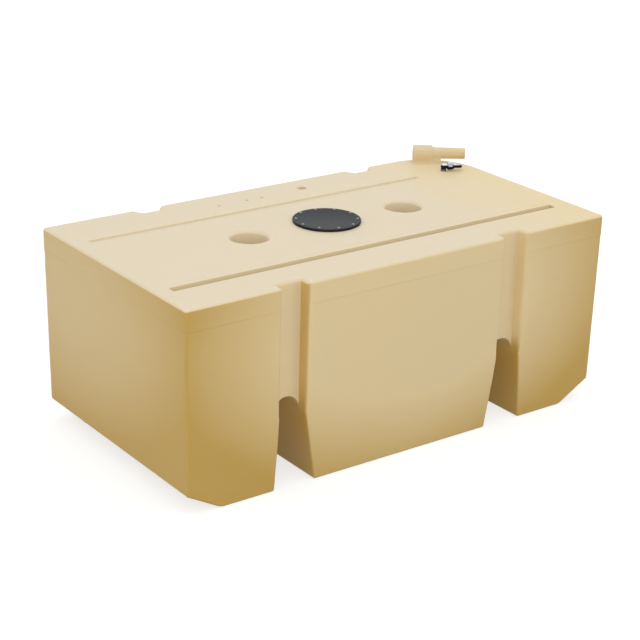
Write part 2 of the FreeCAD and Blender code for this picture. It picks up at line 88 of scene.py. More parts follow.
# The grooves: their ends along x, their sides along y and their depths. The back
# of the front groove leans, so that distances from it are divided by the length of
# the slant, and a shallow ledge lies beside it.

FRONT_GROOVE_ENDS = (-668 * MM, 646 * MM)
FRONT_GROOVE_FRONT = -247 * MM
FRONT_GROOVE_BACK = -217.5 * MM
FRONT_GROOVE_DEPTH = 14 * MM
FRONT_GROOVE_LEAN = 0.55
FRONT_GROOVE_SLANT = 1.14
LEDGE_SIDES = (-243 * MM, -195 * MM)
LEDGE_DEPTH = 1.4 * MM
BACK_GROOVE_ENDS = (-662 * MM, 483 * MM)
BACK_GROOVE_SIDES = (194 * MM, 212 * MM)
BACK_GROOVE_DEPTH = 4 * MM

# Radii of the edges. The mouths of the channels and tunnels gain radius over a
# stretch of their height.

UPRIGHT_EDGE = 8 * MM
TOP_EDGE = 9 * MM
LOW_EDGE = 6 * MM
CHANNEL_EDGE = 6 * MM
CHANNEL_EDGE_GAIN = 7 * MM
CHANNEL_SOFT_FROM = 150 * MM
CHANNEL_SOFT_OVER = 100 * MM
CHANNEL_CORNER = 2.5 * MM
WELL_EDGE = 5 * MM
FRONT_GROOVE_EDGE = 1.2 * MM
BACK_GROOVE_EDGE = 2.5 * MM

scene = bpy.context.scene


# Small helpers.


def collect(obj):
    """Put an object into the scene."""
    scene.collection.objects.link(obj)
    return obj


def mesh_piece(name, bm):
    """An object with the mesh that was built."""
    mesh = bpy.data.meshes.new(name)
    bm.normal_update()
    bm.to_mesh(mesh)
    bm.free()
    return collect(bpy.data.objects.new(name, mesh))


def smooth_piece(name, bm):
    """A piece whose round faces are shaded smooth."""
    for face in bm.faces:
        face.smooth = True
    return mesh_piece(name, bm)


def bridge(bm, pairs):
    """Faces between pairs of rings that have equally many corners."""
    for low, high in pairs:
        for i in range(len(low)):
            ahead = (i + 1) % len(low)
            bm.faces.new((low[i], low[ahead], high[ahead], high[i]))


def bake(obj):
    """Turn what the modifiers give into the piece's own mesh."""
    graph = bpy.context.evaluated_depsgraph_get()
    mesh = bpy.data.meshes.new_from_object(obj.evaluated_get(graph))
    obj.modifiers.clear()
    obj.data = mesh
    return obj


# Shapes given by their distance from the surface: a shape is a function of x, y
# and z that is negative inside it, be it plastic or what is taken out of plastic.


def both(a, b, radius):
    """What two shapes share, with the edge between them rounded."""
    out_a = np.maximum(a + radius, 0)
    out_b = np.maximum(b + radius, 0)
    return np.minimum(np.maximum(a, b), -radius) + np.hypot(out_a, out_b)


def joined(a, b, radius):
    """Two shapes joined, with the corner between them filled to a radius."""
    return -both(-a, -b, radius)


def without(a, b, radius):
    """One shape with another taken out of it, and the edge rounded."""
    return both(a, -b, radius)


def span(value, low, high):
    """The distance from a slab between two places on one axis."""
    return np.maximum(low - value, value - high)


def lines(low, high, coarse, close_spans):
    """Places to sample along one axis: coarse, and closer where edges are."""
    spots = [np.linspace(low, high, int((high - low) / coarse) + 2)]
    for first, last, step in close_spans:
        spots = [s[(s < first - step / 2) | (s > last + step / 2)] for s in spots]
        spots.append(np.linspace(first, last, int(round((last - first) / step)) + 1))
    return np.unique(np.concatenate(spots))


def slope_at(shape, points, reach=0.2 * MM):
    """The direction in which a shape's distance grows at each point."""
    x, y, z = points.T
    return np.stack([
        shape(x + reach, y, z) - shape(x - reach, y, z),
        shape(x, y + reach, z) - shape(x, y - reach, z),
        shape(x, y, z + reach) - shape(x, y, z - reach)], axis=1) / (2 * reach)


PULLS = 5
PULL_LIMIT = 3 * MM


def skin(name, shape, axes, triangles):
    """A mesh on the surface of a shape, thinned where it is flat."""
    grid = np.meshgrid(*axes, indexing="ij", sparse=True)
    value = shape(*grid)
    inside = value < 0
    cells = np.array(inside.shape) - 1
    stride = np.array([cells[1] * cells[2], cells[2], 1])
    total = np.zeros((np.prod(cells), 3))
    count = np.zeros(np.prod(cells))
    quads = []

    # Each line of the grid that crosses the surface gives a face between the four
    # cells round it, and a cell's corner is the mean of the crossings on it.
    for axis in range(3):
        first = [slice(None)] * 3
        second = [slice(None)] * 3
        first[axis] = slice(None, -1)
        second[axis] = slice(1, None)
        first, second = tuple(first), tuple(second)
        where = np.argwhere(inside[first] != inside[second])
        low = value[first][tuple(where.T)]
        high = value[second][tuple(where.T)]
        point = np.stack([axes[k][where[:, k]] for k in range(3)], axis=1)
        ahead = axes[axis][where[:, axis] + 1]
        point[:, axis] += (ahead - point[:, axis]) * low / (low - high)
        side_a, side_b = (axis + 1) % 3, (axis + 2) % 3
        ring = []
        for step_a, step_b in ((0, 0), (1, 0), (1, 1), (0, 1)):
            cell = where.copy()
            cell[:, side_a] -= step_a
            cell[:, side_b] -= step_b
            ring.append(cell @ stride)
        for number in ring:
            count += np.bincount(number, minlength=len(count))
            for k in range(3):
                total[:, k] += np.bincount(number, point[:, k], len(count))
        quad = np.stack(ring, axis=1)
        outward = low < 0
        quad[~outward] = quad[~outward][:, ::-1]
        quads.append(quad)
    used = np.flatnonzero(count)
    points = total[used] / count[used, None]
    order = np.zeros(len(count), dtype=int)
    order[used] = np.arange(len(used))

    # The corners are pulled onto the surface.
    for _ in range(PULLS):
        lean = slope_at(shape, points)
        push = shape(*points.T) / np.maximum((lean ** 2).sum(axis=1), 0.2)
        points -= np.clip(push, -PULL_LIMIT, PULL_LIMIT)[:, None] * lean
    mesh = bpy.data.meshes.new(name)
    mesh.from_pydata(points.tolist(), [], order[np.concatenate(quads)].tolist())
    obj = collect(bpy.data.objects.new(name, mesh))
    faces = 2 * len(mesh.polygons)
    if faces > triangles:
        thin = obj.modifiers.new("thin_flats", "DECIMATE")
        thin.ratio = triangles / faces
        bake(obj)

    # The shading follows the shape itself, so that rounded edges look smooth.
    mesh = obj.data
    corners = np.empty(3 * len(mesh.vertices))
    mesh.vertices.foreach_get("co", corners)
    lean = slope_at(shape, corners.reshape(-1, 3))
    lean /= np.linalg.norm(lean, axis=1)[:, None]
    for face in mesh.polygons:
        face.use_smooth = True
    mesh.normals_split_custom_set_from_vertices(lean.tolist())
    print(name, "triangles", sum(len(p.vertices) - 2 for p in mesh.polygons))
    return obj


# The moulding, from the shapes that are taken out of a plain block.


def plan(x, y, inset):
    """The outline seen from above, with one large rounded corner."""
    radius = np.where((x > 0) & (y > 0), CORNER_RADIUS, UPRIGHT_EDGE) - inset
    over_x = np.abs(x) - (HALF_LENGTH - inset) + radius
    over_y = np.abs(y) - (HALF_WIDTH - inset) + radius
    return (np.minimum(np.maximum(over_x, over_y), 0)
            + np.hypot(np.maximum(over_x, 0), np.maximum(over_y, 0)) - radius)


def tunnel_leg(across, z, foot):
    """One leg of the tunnel, leaning in to meet the arch at a tangent."""
    lean_x = STRAP_CENTRE - foot
    reach = math.hypot(lean_x, TUNNEL_SPRING)
    share = TUNNEL_RADIUS / reach
    turn = math.sqrt(1 - share * share) * math.copysign(1, lean_x)
    normal_x = (share * lean_x + turn * TUNNEL_SPRING) / reach
    normal_z = (share * TUNNEL_SPRING - turn * lean_x) / reach
    side = -((across - foot) * normal_x + z * normal_z)
    rise = abs(normal_x) * (z - TUNNEL_SPRING) - math.copysign(1, normal_x) * normal_z * (
        across - STRAP_CENTRE)
    arch = np.hypot(across - STRAP_CENTRE, z - TUNNEL_SPRING) - TUNNEL_RADIUS
    return np.where(rise > 0, arch, side)


def channel(across, y, mouth, floor, depth):
    """A strap channel, its sides opening towards the face of the tank."""
    lean = (mouth - floor) / depth
    into = HALF_WIDTH - np.abs(y)
    sides = (np.abs(across - STRAP_CENTRE) - mouth + lean * into) / math.hypot(1, lean)
    return both(sides, into - depth, CHANNEL_CORNER)


def strap_way(x, y, z):
    """The arched tunnel under the tank and the channels up its two faces."""
    across = np.abs(x)
    tunnel = np.maximum(tunnel_leg(across, z, TUNNEL_INNER_FOOT),
                        tunnel_leg(across, z, TUNNEL_OUTER_FOOT))
    sides = np.where(y > 0, channel(across, y, *BACK_CHANNEL),
                     channel(across, y, *FRONT_CHANNEL))
    return np.minimum(tunnel, np.maximum(sides, TUNNEL_SPRING - z))


def well(x, y, z):
    """A round well with a short flare at its mouth."""
    below = TOP - z
    flare = WELL_FLARE * np.maximum(1 - below / WELL_LIP, 0)
    along = np.where(x < 0, -LEFT_WELL_OUT - x, x) - WELL_OFFSET
    side = np.hypot(along, y - np.where(x < 0, LEFT_WELL_BACK, 0)) - WELL_RADIUS - flare
    return both(side, below - WELL_DEPTH, WELL_FOOT)


def front_groove(x, y, z):
    """The deep groove near the front, with its ledge."""
    ends = span(x, *FRONT_GROOVE_ENDS)
    below = TOP - z
    back = y - FRONT_GROOVE_BACK + FRONT_GROOVE_LEAN * np.minimum(below, FRONT_GROOVE_DEPTH)
    sides = np.maximum(FRONT_GROOVE_FRONT - y, back / FRONT_GROOVE_SLANT)
    narrow = both(sides, below - FRONT_GROOVE_DEPTH, 3 * MM)
    ledge = both(span(y, *LEDGE_SIDES), TOP - LEDGE_DEPTH - z, LEDGE_DEPTH)
    return both(np.minimum(narrow, ledge), ends, 3 * MM)


def back_groove(x, y, z):
    """The shallow groove near the back."""
    sides = span(y, *BACK_GROOVE_SIDES)
    bed = both(sides, TOP - BACK_GROOVE_DEPTH - z, 2 * MM)
    return both(bed, span(x, *BACK_GROOVE_ENDS), 4 * MM)


def moulding(x, y, z):
    """The whole tank: a drafted block with a rim, and all that is taken out of it."""
    fall = np.clip((PARTING - z) / PARTING, 0, 1)
    step = np.clip((PARTING + RIM_ABOVE - z) / RIM_RUN, 0, 1)
    inset = RIM_STEP * step * step * (3 - 2 * step) + DRAFT_INSET * fall
    body = both(plan(x, y, inset), z - TOP, TOP_EDGE)
    body = both(body, -z, LOW_EDGE)
    end = HALF_LENGTH - RIM_STEP - DRAFT_INSET
    slant = math.hypot(END_SLOPE_RUN, END_SLOPE_RISE)
    slope = ((np.abs(x) - end + END_SLOPE_RUN) * END_SLOPE_RISE - z * END_SLOPE_RUN) / slant
    body = both(body, slope, LOW_EDGE)
    height = np.clip((z - CHANNEL_SOFT_FROM) / CHANNEL_SOFT_OVER, 0, 1)
    body = without(body, strap_way(x, y, z), CHANNEL_EDGE + CHANNEL_EDGE_GAIN * height)
    body = without(body, well(x, y, z), WELL_EDGE)
    body = without(body, front_groove(x, y, z), FRONT_GROOVE_EDGE)
    body = without(body, back_groove(x, y, z), BACK_GROOVE_EDGE)
    hole = np.maximum(np.hypot(x - FITTING_X, y - FITTING_Y) - FITTING_HOLE_RADIUS,
                      TOP - FITTING_HOLE_DEPTH - z)
    return np.maximum(body, -hole)


# Where the tank is sampled: every 30 mm, and closer near the edges.

COARSE = 30 * MM
TANK_TRIANGLES = 180000
FINE = 3 * MM
tank_axes = [
    lines(-0.74, 0.74, COARSE, [
        (-0.722, -0.592, FINE), (-0.440, -0.300, FINE), (-0.330, -0.206, 4 * MM),
        (0.206, 0.330, 4 * MM), (0.300, 0.440, FINE), (0.592, 0.722, FINE),
        (0.094, 0.138, 2 * MM)]),
    lines(-0.40, 0.40, COARSE, [
        (-0.383, -0.325, FINE), (-0.248, -0.190, 2 * MM), (-0.062, 0.062, 4 * MM),
        (0.192, 0.215, 2 * MM), (0.278, 0.322, 2 * MM), (0.325, 0.383, FINE)]),
    lines(-0.02, 0.60, COARSE, [
        (-0.004, 0.075, FINE), (0.200, 0.260, FINE), (0.455, 0.480, 4 * MM),
        (0.511, 0.523, 1.5 * MM), (0.551, 0.584, 2 * MM)])]
tank = skin("tank_moulding", moulding, tank_axes, TANK_TRIANGLES)

# The filler and the vent lie on the top, so their shapes are given along their own
# axes: x along the pipe, y across it and z above the tank's top. A spot is where
# such a piece stands: its x, its y and its turn.

FILLER = (607 * MM, 328 * MM, math.radians(-37))
FILLER_LEVEL = 30 * MM
COLLAR_RADIUS = 24 * MM
COLLAR_HALF = 30.5 * MM
SADDLE_HALF = 18 * MM
WEB_HALF = 15.5 * MM
WEB_END = COLLAR_HALF + 27 * MM
PIPE_RADIUS = 18 * MM
PIPE_TAPER = 0.012
SPOUT_RADIUS = 16.9 * MM
FILLER_BORE = 13.5 * MM
WELD_REACH = 9 * MM
WELD_PROUD = 0.06 * MM
PIPE_END = COLLAR_HALF + 78 * MM
SPOUT_END = PIPE_END + 25 * MM
VENT = (600 * MM, 215 * MM, math.radians(-25))
VENT_LEVEL = 15 * MM
VENT_RADIUS = 8 * MM
NUT_FLAT = 11 * MM
NUT_ENDS = (12 * MM, 28.5 * MM)


def set_down(obj, spot):
    """Place a piece that was made along its own axis on top of the tank."""
    across, along, turn = spot
    obj.data.transform(Matrix.Translation((across, along, TOP)) @ Matrix.Rotation(turn, 4, "Z"))
    return obj


def tank_top(x, y, z, spot):
    """The tank under a fitting, seen from the fitting's own axis."""
    turn_x = spot[0] + x * math.cos(spot[2]) - y * math.sin(spot[2])
    turn_y = spot[1] + x * math.sin(spot[2]) + y * math.cos(spot[2])
    return both(plan(turn_x, turn_y, 0), z, TOP_EDGE)


def filler(x, y, z):
    """A collar with a pipe and a web, blended into a skirt on the tank's top."""
    ring = np.hypot(y, z - FILLER_LEVEL)
    collar = both(ring - COLLAR_RADIUS, np.abs(x) - COLLAR_HALF, 4 * MM)
    saddle = both(np.abs(y) - SADDLE_HALF, np.abs(x) - COLLAR_HALF, 4 * MM)
    saddle = np.maximum(saddle, z - FILLER_LEVEL)
    collar = joined(collar, saddle, 6 * MM)
    taper = PIPE_RADIUS - PIPE_TAPER * np.maximum(x - COLLAR_HALF, 0)
    pipe = both(ring - taper, span(x, 0, PIPE_END), 1.2 * MM)
    spout = both(ring - SPOUT_RADIUS, span(x, 0, SPOUT_END), 1.2 * MM)
    body = joined(collar, np.minimum(pipe, spout), 2.5 * MM)
    web = both(np.abs(y) - WEB_HALF, span(x, 0, WEB_END), 4 * MM)
    body = joined(body, np.maximum(web, z - FILLER_LEVEL), 3 * MM)
    skirt = body - WELD_REACH
    body = joined(body, tank_top(x, y, z, FILLER), 4.5 * MM)
    body = np.maximum(body, skirt) - WELD_PROUD
    bore = both(ring - FILLER_BORE, -x, 0)
    return without(np.maximum(body, -WELD_REACH - z), bore, 1.0 * MM)


FILLER_TRIANGLES = 60000
VENT_TRIANGLES = 24000
filler_axes = [np.arange(-42, 136, 1.5) * MM, np.arange(-36, 36.1, 1.5) * MM,
               np.arange(-11, 57, 1.5) * MM]
filler_piece = set_down(skin("filler_moulding", filler, filler_axes, FILLER_TRIANGLES),
                        FILLER)


def vent_elbow(x, y, z):
    """A round upright that turns into a short arm, on a low foot."""
    upright = both(np.hypot(x, y) - VENT_RADIUS, span(z, -2 * MM, VENT_LEVEL), 0.5 * MM)
    foot = both(np.hypot(x, y) - 8.8 * MM, span(z, -2 * MM, 3.5 * MM), 0.6 * MM)
    arm = both(np.hypot(y, z - VENT_LEVEL) - VENT_RADIUS, span(x, 0, 13 * MM), 0.5 * MM)
    bend = np.sqrt(x * x + y * y + (z - VENT_LEVEL) ** 2) - 9 * MM
    return joined(joined(joined(upright, arm, 2 * MM), bend, 1.5 * MM), foot, 1 * MM)


def vent_nut(x, y, z):
    """A hexagon with its corners turned off, and a thin flange on its far side."""
    up = z - VENT_LEVEL
    hexagon = np.abs(up)
    for turn in (math.radians(60), math.radians(120)):
        hexagon = np.maximum(hexagon, np.abs(up * math.cos(turn) + y * math.sin(turn)))
    ring = np.hypot(y, up)
    turned_off = (ring - NUT_FLAT * 1.08 + 0.58 * (np.abs(x - 20 * MM) - 7 * MM)) / 1.156
    prism = both(hexagon - NUT_FLAT, span(x, *NUT_ENDS), 0.3 * MM)
    nut = both(prism, turned_off, 0.3 * MM)
    flange = both(ring - 11 * MM, span(x, 29.3 * MM, 32 * MM), 0.7 * MM)
    neck = np.maximum(ring - 8.2 * MM, span(x, 12 * MM, 31 * MM))
    return joined(joined(nut, neck, 0.3 * MM), flange, 0.3 * MM)


vent_axes = [np.arange(-11, 34, 0.8) * MM, np.arange(-13.2, 13.3, 0.8) * MM,
             np.arange(-3.2, 29, 0.8) * MM]
elbow_piece = set_down(skin("vent_elbow_body", vent_elbow, vent_axes, VENT_TRIANGLES), VENT)
nut_piece = set_down(skin("vent_union_nut", vent_nut, vent_axes, VENT_TRIANGLES), VENT)


def lathe(name, profile, sides=96, axis="Z", level=0.0):
    """A piece turned from a profile of (radius, height) corners."""
    bm = bmesh.new()
    rings = []
    for radius, height in profile:
        ring = []
        for i in range(sides):
            angle = 2 * math.pi * i / sides
            across, along = radius * math.cos(angle), radius * math.sin(angle)
            if axis == "Z":
                ring.append(bm.verts.new((across, along, height)))
            else:
                ring.append(bm.verts.new((height, across, along + level)))
        rings.append(ring)
    bridge(bm, zip(rings, rings[1:] + rings[:1]))
    bmesh.ops.recalc_face_normals(bm, faces=bm.faces)
    return smooth_piece(name, bm)


def softened(piece, width, segments=3):
    """Round the sharp edges of a turned piece and keep its flats flat."""
    bevel = piece.modifiers.new("turned_edges", "BEVEL")
    bevel.width = width
    bevel.segments = segments
    bevel.limit_method = "ANGLE"
    bevel.angle_limit = math.radians(25)
    bevel.harden_normals = True
    return piece


def in_metres(profile):
    """A profile that is written in millimetres."""
    return [(radius * MM, height * MM) for radius, height in profile]


barbs = [(5.0, 31.0), (5.0, 58.0), (6.6, 58.0), (8.0, 53.5), (6.9, 53.4), (8.0, 48.0),
         (6.9, 47.9), (8.0, 42.5), (6.9, 42.4), (7.4, 36.0), (7.4, 31.0)]
tail = lathe("vent_hose_barb", in_metres(barbs), 64, "X", VENT_LEVEL)
tail_piece = set_down(softened(tail, 0.25 * MM, 2), VENT)

# The inspection plate with its screws, on the rubber gasket.

PLATE = (-8 * MM, 2 * MM, 0.0)
PLATE_TOP = 8 * MM
SCREW_CIRCLE = 88 * MM
SCREWS = 10
FIRST_SCREW = math.radians(4)
RECESS = 0.38
plate_profile = [(0.2, 2.0), (98.0, 2.0), (98.0, 7.0), (96.8, 8.0), (82.0, 8.0),
                 (80.5, 7.5), (0.2, 7.5)]
disc = lathe("inspection_plate_disc", in_metres(plate_profile), 180)
plate_piece = set_down(softened(disc, 0.5 * MM), PLATE)
gasket_profile = [(70.0, 0.0), (97.6, 0.0), (97.9, 1.0), (97.6, 2.0), (70.0, 2.0)]
gasket = lathe("plate_gasket_ring", in_metres(gasket_profile), 180)
gasket_piece = set_down(gasket, PLATE)


def screw_heads(name, count, first_turn):
    """Pan-head screws on washers round the plate, each with a cross recess."""
    bm = bmesh.new()
    sides = 32
    profile = [(4.1, 0.0), (4.1, 0.5), (3.5, 0.6), (3.4, 1.6), (2.8, 2.3), (1.5, 2.6),
               (1.3, 1.8), (0.5, 1.3)]
    for k in range(count):
        turn = first_turn + 2 * math.pi * k / count
        middle = Vector((SCREW_CIRCLE * math.cos(turn), SCREW_CIRCLE * math.sin(turn),
                         PLATE_TOP))
        rings = []
        for radius, height in profile:
            ring = []
            for i in range(sides):
                angle = 2 * math.pi * i / sides + 1.7 * turn
                wave = 1 + (RECESS * math.cos(4 * angle) if radius < 2 else 0)
                ring.append(bm.verts.new(middle + Vector((
                    radius * wave * MM * math.cos(angle), radius * wave * MM * math.sin(angle),
                    height * MM))))
            rings.append(ring)
        bridge(bm, zip(rings, rings[1:]))
        bm.faces.new(rings[-1])
    return softened(smooth_piece(name, bm), 0.15 * MM, 2)


screws_piece = set_down(screw_heads("plate_screws", SCREWS, FIRST_SCREW), PLATE)

# The threaded hole: an insert of thick wall, its thread cut inside.

FITTING = (FITTING_X, FITTING_Y, 0.0)
THREAD_DEPTH = 1.1 * MM
THREAD_STEPS = 8


def thread_insert(name, bore, outer, depth, pitch, sides=72):
    """A ring whose bore carries a real helical thread."""
    bm = bmesh.new()
    steps = int(depth / pitch * THREAD_STEPS)
    rows = []
    for j in range(steps + 1):
        height = -j * depth / steps
        row = []
        for i in range(sides):
            angle = 2 * math.pi * i / sides
            phase = (height / pitch + angle / (2 * math.pi)) % 1.0
            ridge = THREAD_DEPTH * abs(2 * phase - 1) * min(1.0, j / 6)
            radius = bore + THREAD_DEPTH - ridge if j else bore + 1.6 * MM
            row.append(bm.verts.new((radius * math.cos(angle), radius * math.sin(angle), height)))
        rows.append(row)
    for height in (-depth, 0.0):
        row = []
        for i in range(sides):
            angle = 2 * math.pi * i / sides
            row.append(bm.verts.new((outer * math.cos(angle), outer * math.sin(angle), height)))
        rows.append(row)
    bridge(bm, zip(rows, rows[1:] + rows[:1]))
    bmesh.ops.recalc_face_normals(bm, faces=bm.faces)
    return softened(smooth_piece(name, bm), 0.4 * MM, 2)


insert = thread_insert("threaded_insert", 14 * MM, 20 * MM, 24 * MM, 2.3 * MM)
insert_piece = set_down(insert, FITTING)


def marks(name, places, radius):
    """Low round marks that the vents of the mould leave on the top."""
    bm = bmesh.new()
    sides = 32
    for across, along in places:
        middle = Vector((across, along, TOP))
        rings = []
        for share, height in ((1.0, 0.0), (0.9, 0.5), (0.6, 0.8), (0.25, 0.6)):
            rings.append([bm.verts.new(middle + Vector((
                share * radius * math.cos(2 * math.pi * i / sides),
                share * radius * math.sin(2 * math.pi * i / sides), height * MM)))
                for i in range(sides)])
        bridge(bm, zip(rings, rings[1:]))
        bm.faces.new(rings[-1])
    return smooth_piece(name, bm)


marks_piece = marks("mould_vent_marks", [(-191 * MM, 283 * MM), (-93 * MM, 285 * MM),
                                         (-41 * MM, 284 * MM)], 5 * MM)

# Finishes: how each part was made and what that gives the eye. The scales of the
# patterns are in waves per metre, so 90 gives patches of 11 mm. The real grains of
# the plate, the rubber, the nickel and the zinc are under 1 mm, too fine to show,
# and are drawn this coarse so that the surfaces are not dead even.


def hex_colour(code):
    """An sRGB hex colour as the linear numbers that Blender uses."""
    parts = [int(code[i:i + 2], 16) / 255 for i in (1, 3, 5)]
    return tuple(c / 12.92 if c <= 0.04045 else ((c + 0.055) / 1.055) ** 2.4
                 for c in parts) + (1.0,)


def add(tree, kind, settings=None, links=None):
    """Add one node with its settings and what feeds its sockets."""
    made = tree.nodes.new(kind)
    for key, value in (settings or {}).items():
        if isinstance(key, str) and hasattr(made, key):
            setattr(made, key, value)
        else:
            made.inputs[key].default_value = value
    for key, source in (links or {}).items():
        tree.links.new(source, made.inputs[key])
    return made


def by_kind(values):
    """Sort what a node is given into numbers and outputs of other nodes."""
    numbers = {key: value for key, value in values.items() if isinstance(value, (int, float))}
    return numbers, {key: value for key, value in values.items() if key not in numbers}


def reckon(tree, operation, *values):
    """The result of a maths node; each value is a number or an output."""
    numbers, links = by_kind(dict(enumerate(values)))
    return add(tree, "ShaderNodeMath", {"operation": operation, **numbers},
               links).outputs["Value"]


def ranged(tree, value, start, end, low=0.0, high=1.0):
    """What runs from low to high while a value runs from start to end."""
    numbers, links = by_kind({"Value": value, "From Min": start, "From Max": end,
                              "To Min": low, "To Max": high})
    return add(tree, "ShaderNodeMapRange", numbers, links).outputs["Result"]


def new_finish(name):
    """An empty material, its nodes and the place on the piece."""
    material = bpy.data.materials.new(name)
    material.use_nodes = True
    tree = material.node_tree
    tree.nodes.clear()
    place = add(tree, "ShaderNodeTexCoord")
    return material, tree, place.outputs["Object"]


def direction(tree):
    """The way a face looks, as x, y and z."""
    coords = add(tree, "ShaderNodeTexCoord")
    return add(tree, "ShaderNodeSeparateXYZ", links={"Vector": coords.outputs["Normal"]}).outputs


def tone_ramp(tree, fade, low_colour, high_colour):
    """Colours from low to high along a value."""
    tone = add(tree, "ShaderNodeValToRGB", links={"Fac": fade})
    tone.color_ramp.elements[0].color = hex_colour(low_colour)
    tone.color_ramp.elements[1].color = hex_colour(high_colour)
    return tone


MIDDLE_TONE_AT = 0.6
# The colour of the painted shade in the grooves.
GROOVE_SHADE_TONE = "#cbb992"


def natural_polyethylene(name, low_colour, middle_colour, lit_top_colour):
    """Natural polyethylene, rotationally moulded: creamy and a little see-through.
    Towards the corners and the foot it looks golden, partly where the wall is thick
    and less light gets through it and partly as painted shade, and paler in the middle
    of a face. Faces that look up, the wells and the front channel floors are painted
    paler as painted light, and the grooves and the walls that face left darker as
    painted shade. The satin skin has the faint orange peel of the mould."""
    material, tree, place = new_finish(name)
    spot = add(tree, "ShaderNodeSeparateXYZ", links={"Vector": place}).outputs
    facing = direction(tree)
    from_middle = reckon(tree, "ABSOLUTE", spot["X"])

    # The light in the wall, partly painted shade: most near the middle of a face and
    #     less towards its corners and foot, and drifting a little over about 400 mm, as the
    #     thickness of the wall does.
    whole = add(tree, "ShaderNodeMapping", {
        "vector_type": "TEXTURE", "Location": (0.034, 0.228, 0.434),
        "Scale": (1.04, 1.162, 0.67)}, {"Vector": place})
    thickness_and_shade_field = add(tree, "ShaderNodeTexGradient", {"gradient_type": "SPHERICAL"},
               {"Vector": whole.outputs["Vector"]}).outputs["Fac"]
    cloud = add(tree, "ShaderNodeTexNoise", {"Scale": 2.5, "Detail": 2.0},
                {"Vector": place}).outputs["Fac"]
    drift = ranged(tree, cloud, 0.0, 1.0, -0.03, 0.03)
    level = reckon(tree, "ADD", reckon(tree, "MINIMUM", thickness_and_shade_field, 0.36), drift)

    # Darker where an upright edge of an end turns to the front: partly the thicker wall of the
    # corner, partly painted shade.
    ends = ranged(tree, from_middle, 0.69, 0.705, 0.0, -0.5)
    forward = ranged(tree, facing["Y"], 0.0, -1.0)
    aslant = reckon(tree, "MULTIPLY", facing["X"], forward)
    corner = reckon(tree, "MULTIPLY_ADD", reckon(tree, "ABSOLUTE", aslant), ends, level)

    # Painted light: lighter on the floors of the front channels, which face the front.
    inward = ranged(tree, spot["Y"], -0.355, -0.340, 0.0, 0.05)
    frontal = ranged(tree, facing["Y"], -0.7, -0.95)
    lit = reckon(tree, "MULTIPLY_ADD", inward, frontal, corner)

    # Painted shade: darker on the walls of the channels and tunnels that face left.
    reach = ranged(tree, spot["X"], 0.0, -0.3)
    arched = ranged(tree, spot["Z"], 0.26, 0.22)
    beside = ranged(tree, from_middle, 0.46, 0.45)
    leftward = ranged(tree, facing["X"], -0.6, -0.9, 0.0, -0.2)
    walls = reckon(tree, "MULTIPLY", reckon(tree, "MAXIMUM", reach, arched), beside)
    side = reckon(tree, "MULTIPLY_ADD", walls, leftward, lit)
    thickness_and_shade = ranged(tree, side, 0.09, 0.525)

    # Painted light: the faces that look up and the insides of the wells are pale, the top less so
    # towards the filler.
    paler = ranged(tree, spot["X"], 0.3, 0.75, 1.0, 0.62)
    painted_top_light = ranged(tree, facing["Z"], 0.08, 0.6, 0.0, paler)
    across_well = reckon(tree, "COMPARE", spot["Y"], 0.0, 0.09)
    down_well = ranged(tree, spot["Z"], 0.43, 0.45)
    along_well = ranged(tree, from_middle, 0.40, 0.39)
    near_well = reckon(tree, "MULTIPLY", across_well, down_well)
    in_well = reckon(tree, "MULTIPLY", near_well, along_well)
    pale = reckon(tree, "MAXIMUM", in_well, painted_top_light)
    tone = tone_ramp(tree, reckon(tree, "MAXIMUM", thickness_and_shade, pale), low_colour, lit_top_colour)
    middle = tone.color_ramp.elements.new(MIDDLE_TONE_AT)
    middle.color = hex_colour(middle_colour)

    # Painted shade: the grooves are darker and duller, the front one more.
    front_strip = reckon(tree, "COMPARE", spot["Y"], -0.232, 0.016)
    back_strip = reckon(tree, "COMPARE", spot["Y"], 0.203, 0.011)
    strips = reckon(tree, "MULTIPLY_ADD", back_strip, 0.5, front_strip)
    near_top = reckon(tree, "COMPARE", spot["Z"], 0.567, 0.0115)
    inner = ranged(tree, from_middle, 0.69, 0.68)
    groove_shade = reckon(tree, "MULTIPLY", reckon(tree, "MULTIPLY", strips, near_top), inner)
    colour = add(tree, "ShaderNodeMixRGB", {"Color2": hex_colour(GROOVE_SHADE_TONE)},
                 {"Fac": groove_shade, "Color1": tone.outputs["Color"]}).outputs["Color"]

    # The peel is drawn at about 4 mm, coarser than the real 1 to 2 mm, so that it
    # shows at this distance.
    peel = add(tree, "ShaderNodeTexNoise", {"Scale": 260.0, "Detail": 2.0}, {"Vector": place})
    bumpy = add(tree, "ShaderNodeBump", {"Strength": 0.05, "Distance": 0.0005},
                {"Height": peel.outputs["Fac"]})
    # The skin also glows faintly in its own colour, as painted light.
    shader = add(tree, "ShaderNodeBsdfPrincipled",
                 {"IOR": 1.51, "Subsurface Weight": 0.4, "Subsurface Scale": 0.006,
                  "Subsurface Radius": (1.0, 0.9, 0.55), "Specular IOR Level": 0.3,
                  "Emission Strength": 0.06},
                 {"Base Color": colour, "Emission Color": colour,
                  "Roughness": ranged(tree, cloud, 0.0, 1.0, 0.42, 0.48),
                  "Normal": bumpy.outputs["Normal"]})
    add(tree, "ShaderNodeOutputMaterial", links={"Surface": shader.outputs["BSDF"]})
    return material


